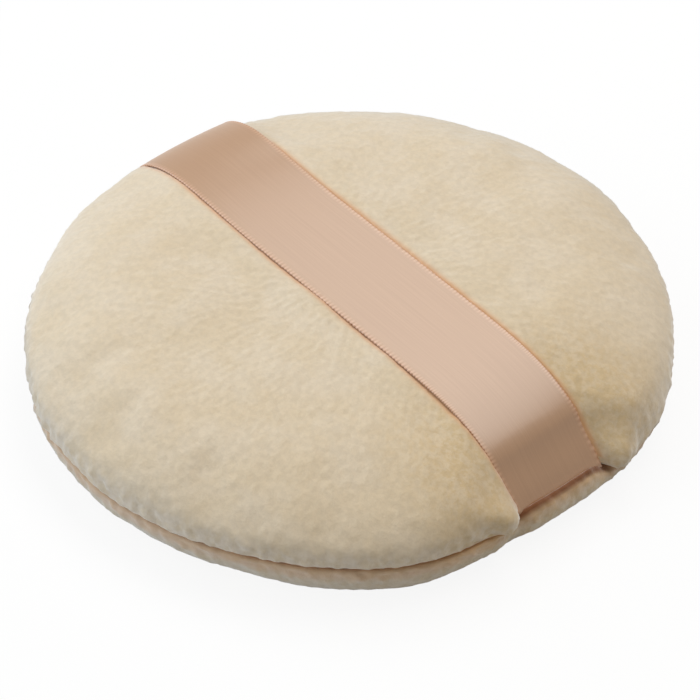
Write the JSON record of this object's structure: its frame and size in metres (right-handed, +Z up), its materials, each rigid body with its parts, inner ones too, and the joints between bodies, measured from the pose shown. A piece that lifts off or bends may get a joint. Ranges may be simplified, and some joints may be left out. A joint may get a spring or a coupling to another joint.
{
  "type": "powder puff",
  "caption": "Round padded velour powder puff with a sewn rim and a satin ribbon taut across its top, held with the fingers under the ribbon.",
  "frame": {"origin": "middle of the pad's bounding box, on the plane of the flat powder face that it lies on", "axes": "+Z up through the pad's thickness, +X along the ribbon towards the end nearest the camera in the picture, +Y across the ribbon"},
  "size_m": [0.0766, 0.0804, 0.0144],
  "materials": {
    "velour": "ivory short cut pile, matte with a soft nap",
    "filling": "off-white soft filling, matte",
    "satin": "dusty peach satin weave with a low sheen",
    "thread": "ivory spun thread, matte"
  },
  "bodies": {
    "base": {"bottom_panel": "velour", "pad_core": "filling", "needle_thread": "thread", "bobbin_thread": "thread", "closing_thread": "thread"},
    "crown": {"top_panel": "velour"},
    "strap": {"finger_ribbon": "satin"}
  },
  "joints": [
    {"name": "pad_press", "type": "slide", "parent": "base", "child": "crown", "axis": [0, 0, 1], "range_m": [-0.003, 0], "stiffness_N_per_m": 500, "deforming": ["top_panel", "pad_core"]},
    {"name": "ribbon_lift", "type": "slide", "parent": "base", "child": "strap", "axis": [0, 0, 1], "range_m": [0, 0.01], "stiffness_N_per_m": 60, "deforming": ["finger_ribbon"]}
  ]
}
